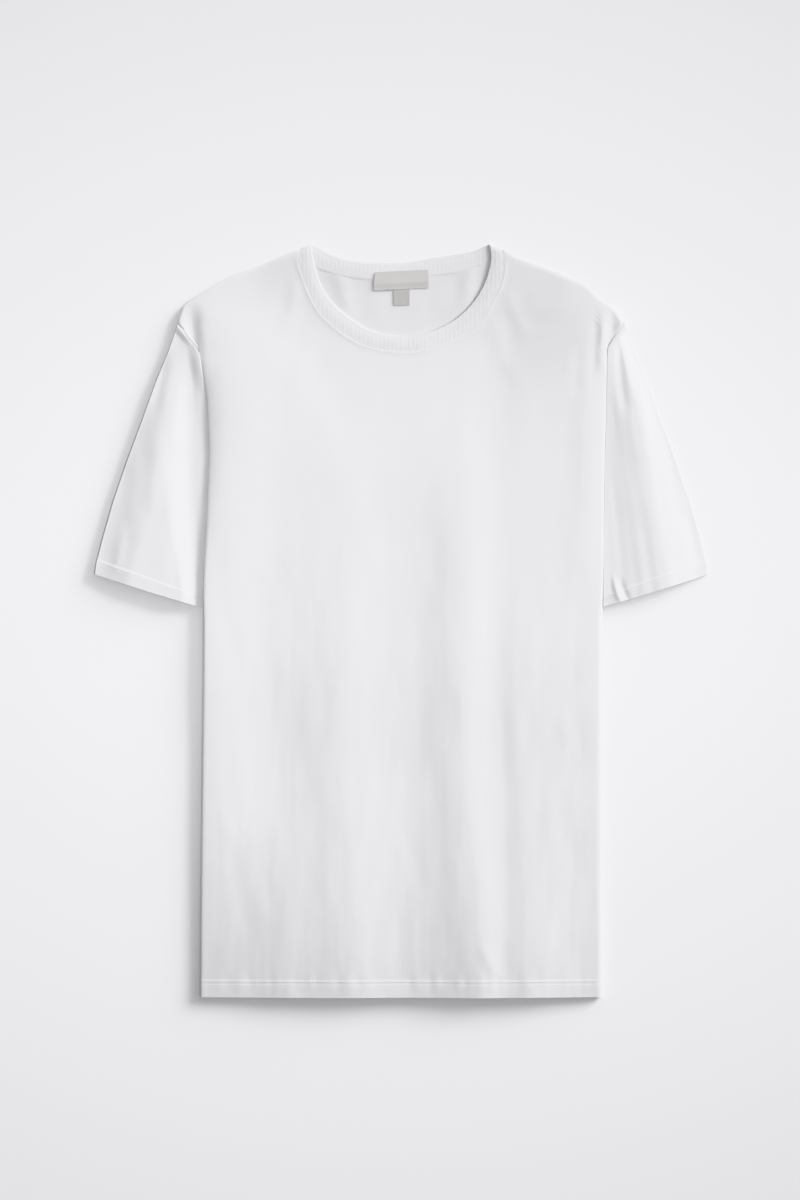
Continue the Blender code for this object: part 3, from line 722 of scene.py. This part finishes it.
def sleeve_grid(side):
    """A sleeve all round, row by row: upper layer, underarm fold, lower layer, outer fold."""
    v = np.concatenate([np.linspace(a, b, n, endpoint=False) for a, b, n in SLEEVE_ROWS] + [[1.0]])
    w_under = UNDER_TURN[0] + UNDER_TURN[1] * np.linspace(1.0, 0.0, SLEEVE_UNDER_COLUMNS)
    ww = np.stack([top_columns(share, side) for share in v])
    vv = np.broadcast_to(v[:, None], ww.shape)
    top = sleeve_point(ww, vv)
    x, y = top[..., 0], top[..., 1]
    up = (1.0 - vv) * SLEEVE_LENGTH
    raised = HEM_RAISE * (1.0 - smooth((up - SLEEVE_HEM + HEM_STEP / 2) / SLEEVE_HEM_STEP))
    clear = smooth((x - body_edge(y, side) - HEM_BESIDE[0]) / HEM_BESIDE[1])
    top = np.dstack([top, sleeve_top(x, y, side) + raised * clear])
    vv, ww = np.meshgrid(v, w_under, indexing="ij")
    under = sleeve_point(ww, vv)
    under = np.dstack([under, np.zeros(under.shape[:2])])
    inner = fold_arc(top[:, -1], under[:, 0], sleeve_point(np.ones_like(v), v))
    outer = fold_arc(under[:, -1], top[:, 0], sleeve_point(np.zeros_like(v), v))
    ring = np.concatenate([top, inner, under, outer], axis=1)
    ring[..., 0] *= side
    return ring[:, ::-1] if side > 0 else ring


def fold_arc(start, end, tip):
    """Points round a fold between two layers, for every row."""
    columns = []
    for angle in np.linspace(0.0, math.pi, FOLD_STEPS)[1:-1]:
        share = math.sin(angle)
        z = (start[:, 2] + end[:, 2]) / 2 + (start[:, 2] - end[:, 2]) / 2 * math.cos(angle)
        x = start[:, 0] + (tip[:, 0] - start[:, 0]) * share
        y = start[:, 1] + (tip[:, 1] - start[:, 1]) * share
        columns.append(np.stack([x, y, z], axis=1))
    return np.stack(columns, axis=1)


# ---------------------------------------- neckband
BAND_SAMPLES = 120
BAND_LAYER = 0.9  # wall of one layer of the rib
BAND_HALF = 0.8  # from the doubled band's middle to the middle of a layer
BAND_SINK = 0.66  # of the band's middle below the front
BAND_BACK = 0.87  # height of the band's middle along the back
BAND_TUCK = 0.9  # that the band reaches past its seam
BAND_STEPS = 8  # round the fold at its free edge
BAND_SHARES = np.concatenate([[0.0, 0.015, 0.03, 0.045, 0.07], np.linspace(0.1, 1.0, 10)])

# shares of the band's half thickness at its very tip, at its seam and at its free edge, and the shares of
# its width over which they change
BAND_TIP = 0.30
BAND_SEAM = 0.84
BAND_FREE = 0.5
TIP_SHARE = 0.045
SEAM_SHARE = 0.4
FREE_FROM = 0.55
FREE_SHARE = 0.45


def band_sections():
    """Seam point, free point, middle height and tuck, all round the band."""
    front_a = curve(FRONT_SEAM, BAND_SAMPLES + 1)
    front_b = curve(FRONT_FREE, BAND_SAMPLES + 1)
    back_a = curve(BACK_SEAM, BAND_SAMPLES + 1)[::-1]
    back_b = curve(BACK_FREE, BAND_SAMPLES + 1)[::-1]
    heights = front_top(front_a[:, 0], front_a[:, 1]) - BAND_SINK
    keep = range(2, BAND_SAMPLES - 1)
    rows = [(front_a[i], front_b[i], heights[i], BAND_TUCK) for i in keep]
    rows += turn_over(
        front_a[-1], front_b[-1], front_a[-3], front_b[-3], back_a[2], back_b[2], heights[-1]
    )
    rows += [(back_a[i], back_b[i], BAND_BACK, BAND_TUCK) for i in keep]
    rows += turn_over(
        front_a[0], front_b[0], back_a[-3], back_b[-3], front_a[2], front_b[2], heights[0], -1.0
    )
    return rows


def turn_over(seam, free, seam_in, free_in, seam_out, free_out, height, down=1.0):
    """Sections round the fold at the high point of the shoulder: down to the back, or up from it."""
    rows = []
    for angle in np.linspace(0.0, math.pi, FOLD_STEPS)[1:-1]:
        share = math.sin(angle)
        near_seam, near_free = (seam_in, free_in) if angle < math.pi / 2 else (seam_out, free_out)
        a = near_seam + (seam - near_seam) * share
        b = near_free + (free - near_free) * share
        z = (height + BAND_BACK) / 2 + (height - BAND_BACK) / 2 * down * math.cos(angle)
        rows.append((a, b, z, 0.0))
    return rows


def band_fullness(share):
    """Share of the band's half thickness, from its seam (0) to its free edge (1)."""
    rise = BAND_TIP + (BAND_SEAM - BAND_TIP) * float(smooth(share / TIP_SHARE))
    rise = rise + (1.0 - BAND_SEAM) * float(smooth(share / SEAM_SHARE))
    return rise - (1.0 - BAND_FREE) * float(smooth((share - FREE_FROM) / FREE_SHARE))


def band_grid():
    """A strip doubled along its free edge: outer layer, round fold, inner layer, all the way round."""
    seam, free, height, tuck = (np.array(values) for values in zip(*band_sections()))
    unit = (free - seam) / np.linalg.norm(free - seam, axis=1)[:, None]
    start = seam - unit * tuck[:, None]
    middle = np.column_stack([(start + free) / 2, height])
    tangent = np.roll(middle, -1, axis=0) - np.roll(middle, 1, axis=0)
    tangent /= np.linalg.norm(tangent, axis=1)[:, None]
    across = np.column_stack([unit, np.zeros(len(unit))])
    normal = np.cross(across, tangent)
    normal /= np.linalg.norm(normal, axis=1)[:, None]
    width = np.linalg.norm(free - start, axis=1)
    base = np.column_stack([start, height])
    fold = BAND_HALF * BAND_FREE

    def layer(side, shares):
        places = [base + across * ((width - fold) * share)[:, None] for share in shares]
        return [p + side * normal * BAND_HALF * band_fullness(share) for p, share in zip(places, shares)]

    sections = layer(1.0, BAND_SHARES)
    for angle in np.linspace(0.0, math.pi, BAND_STEPS + 1)[1:-1]:
        place = base + across * (width - fold + fold * math.sin(angle))[:, None]
        sections.append(place + normal * fold * math.cos(angle))
    sections += layer(-1.0, BAND_SHARES[::-1])
    return np.stack(sections, axis=1)


# ---------------------------------------- tape, labels
TAPE_SHARES = (0.0, 0.05, 0.1, 0.15, 0.2, 0.3, 0.45, 0.6, 0.75, 0.9, 1.0)  # across it, from below
TAPE_BELOW = 1.0  # how far it reaches below and above the back seam
TAPE_ABOVE = 5.5
TAPE_WALL = 0.7 * 0.4  # a share of the solid's wall
TAPE_SAMPLES = 121
TAPE_ENDS = slice(15, -15)
TAPE_LOW = 1.64  # height of its lower edge, then what it gains over its first part and all over
TAPE_STEP = 0.24
TAPE_STEP_SHARE = 0.3
TAPE_RISE = 0.14

LABEL_WALL = 0.5 * 0.8  # a share of the solid's wall
LABEL_GRID = (17, 25)
LABEL_HEIGHTS = (3.0, 2.2, 0.12)  # top, bottom, bend
TAB_HEIGHTS = (1.9, 1.8, 0.05)
LABEL_FALL_FROM = 0.6  # shares of a label's height: where it starts to fall, and over how much
LABEL_FALL = 0.4


def tape_grid():
    """Neck tape along the middle of the back seam."""
    seam = curve(BACK_SEAM, TAPE_SAMPLES)[TAPE_ENDS]
    free = curve(BACK_FREE, TAPE_SAMPLES)[TAPE_ENDS]
    across = (free - seam) / np.linalg.norm(free - seam, axis=1)[:, None]
    columns = []
    for share in TAPE_SHARES:
        place = seam + across * (-TAPE_BELOW + (TAPE_ABOVE + TAPE_BELOW) * share)
        lift = TAPE_LOW + TAPE_STEP * float(smooth(share / TAPE_STEP_SHARE)) + TAPE_RISE * share
        columns.append(np.column_stack([place, np.full(len(place), lift)]))
    return np.stack(columns[::-1], axis=0)


def label_grid(corners, top_z, low_z, bend):
    """A label between its corners, slightly bent, that falls to the cloth below it."""
    dd, ss = np.meshgrid(*[np.linspace(0.0, 1.0, count) for count in LABEL_GRID], indexing="ij")
    c = np.array(corners)
    lower = c[0] * (1 - ss[..., None]) + c[1] * ss[..., None]
    upper = c[3] * (1 - ss[..., None]) + c[2] * ss[..., None]
    flat = upper * (1 - dd[..., None]) + lower * dd[..., None]
    fall = smooth((dd - LABEL_FALL_FROM) / LABEL_FALL)
    z = top_z + (low_z - top_z) * fall + bend * dd * np.sin(math.pi * ss * 2.0)
    return np.dstack([flat, z])


# ---------------------------------------- stitching
STITCH = 2.6  # from one stitch to the next
STITCH_GAP = 0.7
THREAD = 0.22  # half width
THREAD_SIDES = 6
THREAD_SWELL = (0.25, 0.9, 1.0, 0.9, 0.25)  # along one stitch: thickness, height over the cloth
THREAD_HEIGHT = (-0.16, 0.02, 0.08, 0.02, -0.16)
HEM_LINE_SAMPLES = 400
CUFF_LINE = (0.03, 0.62, 200)  # shares across the sleeve, samples
NECK_LINE_OUT = 1.7  # of the topstitching from the neck seam
NECK_LINE_SAMPLES = 400
NECK_LINE_ENDS = slice(14, -14)


def stitches(name, lines, finish):
    """Short rounded threads end to end along lines of points."""
    points = []
    faces = []
    steps = len(THREAD_SWELL)
    turns = np.linspace(0.0, 2.0 * math.pi, THREAD_SIDES, endpoint=False)
    ring = [(math.cos(a), math.sin(a)) for a in turns]
    for line in lines:
        line = np.asarray(line, dtype=float)
        run = np.concatenate([[0.0], np.cumsum(np.linalg.norm(np.diff(line, axis=0), axis=1))])
        count = int(run[-1] // STITCH)
        for k in range(count):
            at = np.linspace(k * STITCH + STITCH_GAP / 2, (k + 1) * STITCH - STITCH_GAP / 2, steps)
            path = np.stack([np.interp(at, run, line[:, c]) for c in range(3)], axis=1)
            along = path[-1] - path[0]
            along /= np.linalg.norm(along)
            side = np.cross((0.0, 0.0, 1.0), along)
            side /= np.linalg.norm(side)
            up = np.cross(along, side)
            first = len(points)
            for centre, swell, lift in zip(path, THREAD_SWELL, THREAD_HEIGHT):
                for cx, cz in ring:
                    points.append(centre + side * cx * THREAD * swell + up * (cz * THREAD * swell + lift))
            for m in range(steps - 1):
                for n in range(THREAD_SIDES):
                    a = first + m * THREAD_SIDES + n
                    b = first + m * THREAD_SIDES + (n + 1) % THREAD_SIDES
                    faces.append((a, b, b + THREAD_SIDES, a + THREAD_SIDES))
            end = first + (steps - 1) * THREAD_SIDES
            faces.append(tuple(first + n for n in reversed(range(THREAD_SIDES))))
            faces.append(tuple(end + n for n in range(THREAD_SIDES)))
    return add_mesh(name, np.array(points), faces, finish)


def needles(hem):
    """Heights above the edge of a hem's two lines of stitching."""
    return hem - NEEDLE_IN, hem - NEEDLE_IN - NEEDLES_APART


def body_hem_lines():
    lines = []
    for up in needles(BODY_HEM):
        y = HEM_Y + up
        x = np.linspace(column(BODY_EDGES, y, 1) + ROLL, column(BODY_EDGES, y, 2) - ROLL, HEM_LINE_SAMPLES)
        lines.append(np.stack([x, np.full_like(x, y), front_top(x, np.full_like(x, y))], axis=1))
    return lines


def sleeve_hem_lines(side):
    lines = []
    for up in needles(SLEEVE_HEM):
        w = np.linspace(*CUFF_LINE)
        v = np.full_like(w, 1.0 - up / SLEEVE_LENGTH)
        p = sleeve_point(w, v)
        z = sleeve_top(p[:, 0], p[:, 1], side) + HEM_RAISE
        lines.append(np.stack([side * p[:, 0], p[:, 1], z], axis=1))
    return lines


def neck_lines():
    """One row of topstitching just outside the front neck seam."""
    seam = curve(FRONT_SEAM, NECK_LINE_SAMPLES)
    tangent = np.gradient(seam, axis=0)
    tangent /= np.linalg.norm(tangent, axis=1)[:, None]
    outward = np.stack([tangent[:, 1], -tangent[:, 0]], axis=1)
    line = (seam + outward * NECK_LINE_OUT)[NECK_LINE_ENDS]
    return [np.column_stack([line, front_top(line[:, 0], line[:, 1])])]


# ---------------------------------------- materials
WAVE_PERIOD = 20.0  # Blender's bands repeat every 2 pi / (this * their scale)
KNIT_STRENGTH = 0.5
WOVEN_STRENGTH = 0.6
CLOTH_ROUGHNESS = 0.88
LABEL_ROUGHNESS = 0.55
FLOOR_ROUGHNESS = 0.9
CLOTH_SPECULAR = 0.25
FLOOR_SPECULAR = 0.1
SHEEN_ROUGHNESS = 0.45
LABEL_SHEEN = 0.1
LABEL_SHADE = 0.93
FUZZ_SCALE = 1400.0
FUZZ_DETAIL = 3.0
FUZZ_WEIGHT = 0.8
COURSE_WEIGHT = 0.4
WARP_WEIGHT = 0.5
WARP_PITCH = 1.3  # of the weft's
TONE_SCALE = 22.0
TONE_DETAIL = 4.0
TONE_RANGE = (0.3, 0.7)


def new_material(name, colour, roughness, specular=CLOTH_SPECULAR):
    made = bpy.data.materials.new(name)
    made.use_nodes = True
    nodes = made.node_tree.nodes
    shader = nodes["Principled BSDF"]
    shader.inputs["Base Color"].default_value = (*colour, 1.0)
    shader.inputs["Roughness"].default_value = roughness
    shader.inputs["Specular IOR Level"].default_value = specular
    return made, nodes, made.node_tree.links, shader


def wave_node(nodes, links, place, direction, pitch):
    """Straight bands of the given pitch in millimetres."""
    wave = nodes.new("ShaderNodeTexWave")
    wave.bands_direction = direction
    wave.inputs["Scale"].default_value = 2.0 * math.pi / (WAVE_PERIOD * pitch * MM)
    links.new(place.outputs["Object"], wave.inputs["Vector"])
    return wave.outputs["Fac"]


def noise_node(nodes, links, place, scale, detail):
    noise = nodes.new("ShaderNodeTexNoise")
    noise.inputs["Scale"].default_value = scale
    noise.inputs["Detail"].default_value = detail
    links.new(place.outputs["Object"], noise.inputs["Vector"])
    return noise.outputs["Fac"]


def weighted_sum(nodes, links, value, weight, base):
    """value * weight + base"""
    add = nodes.new("ShaderNodeMath")
    add.operation = "MULTIPLY_ADD"
    links.new(value, add.inputs[0])
    add.inputs[1].default_value = weight
    links.new(base, add.inputs[2])
    return add.outputs[0]


def add_bump(nodes, links, shader, height, depth, strength):
    bump = nodes.new("ShaderNodeBump")
    bump.inputs["Distance"].default_value = depth * MM
    bump.inputs["Strength"].default_value = strength
    links.new(height, bump.inputs["Height"])
    links.new(bump.outputs["Normal"], shader.inputs["Normal"])


def add_tone(nodes, links, shader, value, colour, darkest, between=(0.0, 1.0)):
    """Shades the colour by a pattern, from its darkest share up to all of it."""
    ramp = nodes.new("ShaderNodeValToRGB")
    low, high = ramp.color_ramp.elements
    low.position, high.position = between
    low.color = (*[c * darkest for c in colour], 1.0)
    high.color = (*colour, 1.0)
    links.new(value, ramp.inputs["Fac"])
    links.new(ramp.outputs["Color"], shader.inputs["Base Color"])


def knit(name, colour, wale, course, depth, shade=0.03, sheen=0.25):
    """Jersey or rib: rows of stitches as bump, slight fuzz, and a faint uneven tone."""
    made, nodes, links, shader = new_material(name, colour, CLOTH_ROUGHNESS)
    shader.inputs["Sheen Weight"].default_value = sheen
    shader.inputs["Sheen Roughness"].default_value = SHEEN_ROUGHNESS
    place = nodes.new("ShaderNodeTexCoord")
    across = wave_node(nodes, links, place, "X", wale)
    along = wave_node(nodes, links, place, "Y", course)
    fuzz = noise_node(nodes, links, place, FUZZ_SCALE, FUZZ_DETAIL)
    rows = weighted_sum(nodes, links, along, COURSE_WEIGHT, across)
    height = weighted_sum(nodes, links, fuzz, FUZZ_WEIGHT, rows)
    add_bump(nodes, links, shader, height, depth, KNIT_STRENGTH)
    tone = noise_node(nodes, links, place, TONE_SCALE, TONE_DETAIL)
    add_tone(nodes, links, shader, tone, colour, 1.0 - shade, TONE_RANGE)
    return made


def woven(name, colour, pitch, depth):
    """Label cloth: fine close weft with a slight gloss."""
    made, nodes, links, shader = new_material(name, colour, LABEL_ROUGHNESS)
    shader.inputs["Sheen Weight"].default_value = LABEL_SHEEN
    place = nodes.new("ShaderNodeTexCoord")
    weft = wave_node(nodes, links, place, "Y", pitch)
    warp = wave_node(nodes, links, place, "X", pitch * WARP_PITCH)
    weave = weighted_sum(nodes, links, warp, WARP_WEIGHT, weft)
    add_bump(nodes, links, shader, weave, depth, WOVEN_STRENGTH)
    add_tone(nodes, links, shader, weft, colour, LABEL_SHADE)
    return made


# colour, then the pitch of the wales and courses and the depth of the stitches in millimetres
WHITE = (0.678, 0.678, 0.694)
jersey = knit("jersey", WHITE, 0.75, 0.6, 0.10)
inner_jersey = knit("jersey_inside", (0.660, 0.660, 0.675), 0.75, 0.6, 0.10)
rib = knit("rib", WHITE, 1.25, 0.7, 0.22)
tape_cloth = knit("tape_cloth", (0.68, 0.68, 0.695), 0.6, 0.5, 0.08)
label_cloth = woven("label_cloth", (0.555, 0.55, 0.541), 0.3, 0.06)
tab_cloth = woven("tab_cloth", (0.46, 0.455, 0.447), 0.3, 0.06)
thread = knit("thread", (0.75, 0.75, 0.765), 0.3, 0.3, 0.03, shade=0.02)


# ---------------------------------------- pieces
def dress(piece, slot, *nodes):
    """Puts a piece on the body, in place of the solids that it shows."""
    if nodes:
        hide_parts(*nodes)
    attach(piece, "root")


INWARD = -1.0  # sheets whose faces point out of the shirt thicken inwards
OUTWARD = 1.0

front_grid = panel_grid(FRONT_SEAM, 0.0, 0.0, front_top, SHOULDER_END + LAYER)
back_grid = panel_grid(BACK_SEAM, BACK_INSET, LAYER, back_top, SHOULDER_END, BACK_FINENESS)
front = add_sheet("front_cloth", front_grid, CLOTH, INWARD, jersey)
back = add_sheet("back_cloth", back_grid, CLOTH, INWARD, inner_jersey)
dress(front, "jersey_front", "front")
dress(back, "jersey_back", "back")

for side, word in ((-1, "left"), (1, "right")):
    piece = add_sheet(f"sleeve_{word}_cloth", sleeve_grid(side), CLOTH, INWARD, jersey, closed_across=True)
    dress(piece, f"jersey_sleeve_{word}", f"sleeve_{word}")

band = add_sheet("neckband_rib", band_grid(), BAND_LAYER, OUTWARD, rib, closed_along=True)
dress(band, "rib", "neckband")
tape = add_sheet("neck_tape_cloth", tape_grid(), TAPE_WALL, INWARD, tape_cloth)
dress(tape, "tape", "neck_tape")
label_form = label_grid(LABEL_CORNERS, *LABEL_HEIGHTS)
label = add_sheet("main_label_cloth", label_form, LABEL_WALL, INWARD, label_cloth)
dress(label, "woven_label", "main_label")
tab = add_sheet("size_tab_cloth", label_grid(TAB_CORNERS, *TAB_HEIGHTS), LABEL_WALL, INWARD, tab_cloth)
dress(tab, "woven_tab", "size_tab")

hem_thread = stitches("hem_stitches", body_hem_lines(), thread)
dress(hem_thread, "jersey_front")
cuff_threads = {}
for side, word in ((-1, "left"), (1, "right")):
    cuff_threads[word] = stitches(f"cuff_stitches_{word}", sleeve_hem_lines(side), thread)
    dress(cuff_threads[word], f"jersey_sleeve_{word}")
neck_thread = stitches("neck_stitches", neck_lines(), thread)
dress(neck_thread, "jersey_front")

# ---------------------------------------- stage, light and camera
FRAME_HEIGHT = 1.1345  # metres of the surface that the picture's height covers
LENS = 100.0
SENSOR = 36.0
CENTRE = (-0.0014, 0.0189)  # of the picture, on the surface
SEEN_HEIGHT = 0.006  # above the surface, where the picture's scale holds
FAR_CLIP = 50.0

FLOOR = (0.873, 0.874, 0.895)
FLOOR_HALF = 6.0
FLOOR_DROP = 0.0002

SURROUND = 0.21
SURROUND_COLOUR = (0.985, 0.985, 1.0, 1.0)
SUN_COLOUR = (1.0, 0.995, 0.985)
# name, strength, spread, and degrees from straight down, to the right and towards the neck
SUNS = [("key", 4.0, 34, 63.5, 33.0), ("wash", 1.4, 110, 52.3, 29.9)]
POOL = 195.0
POOL_RADIUS = 0.54
POOL_HEIGHT = 3.4
POOL_BLEND = 0.5
POOL_SIZE = 0.3
POOL_SHIFT = 0.04
POOL_SHAPE = (1.16, 0.84, 1.0)


def build_floor():
    made, _, _, _ = new_material("floor_paper", FLOOR, FLOOR_ROUGHNESS, FLOOR_SPECULAR)
    mesh = bpy.data.meshes.new("floor")
    corners = [(x * FLOOR_HALF, y * FLOOR_HALF, 0.0) for x, y in ((-1, -1), (1, -1), (1, 1), (-1, 1))]
    mesh.from_pydata(corners, [], [(0, 1, 2, 3)])
    mesh.materials.append(made)
    floor = bpy.data.objects.new("floor", mesh)
    floor.location.z = -FLOOR_DROP
    bpy.context.scene.collection.objects.link(floor)


def build_light():
    """Soft studio light: an even surround, two suns from the upper right, a pool from above."""
    world = bpy.data.worlds.new("studio")
    bpy.context.scene.world = world
    world.use_nodes = True
    background = world.node_tree.nodes["Background"]
    background.inputs["Color"].default_value = SURROUND_COLOUR
    background.inputs["Strength"].default_value = SURROUND
    for name, power, spread, right, up in SUNS:
        lamp = bpy.data.lights.new(name, "SUN")
        lamp.energy = power
        lamp.angle = math.radians(spread)
        lamp.color = SUN_COLOUR
        lit = bpy.data.objects.new(name, lamp)
        lit.rotation_euler = (math.radians(-up), math.radians(right), 0.0)
        bpy.context.scene.collection.objects.link(lit)
    pool = bpy.data.lights.new("pool", "SPOT")
    pool.energy = POOL
    pool.spot_size = 2.0 * math.atan(POOL_RADIUS / POOL_HEIGHT)
    pool.spot_blend = POOL_BLEND
    pool.shadow_soft_size = POOL_SIZE
    above = bpy.data.objects.new("pool", pool)
    above.location = (CENTRE[0], CENTRE[1] + POOL_SHIFT, POOL_HEIGHT)
    above.scale = POOL_SHAPE
    above.visible_camera = False
    bpy.context.scene.collection.objects.link(above)


def build_camera():
    """A long lens straight above, as in the photo."""
    lens = bpy.data.cameras.new("above")
    lens.lens = LENS
    lens.sensor_width = SENSOR
    lens.clip_end = FAR_CLIP
    camera = bpy.data.objects.new("above", lens)
    camera.location = (CENTRE[0], CENTRE[1], FRAME_HEIGHT * LENS / SENSOR + SEEN_HEIGHT)
    bpy.context.scene.collection.objects.link(camera)
    bpy.context.scene.camera = camera


build_floor()
build_light()
build_camera()
bpy.context.scene.view_settings.view_transform = "Khronos PBR Neutral"
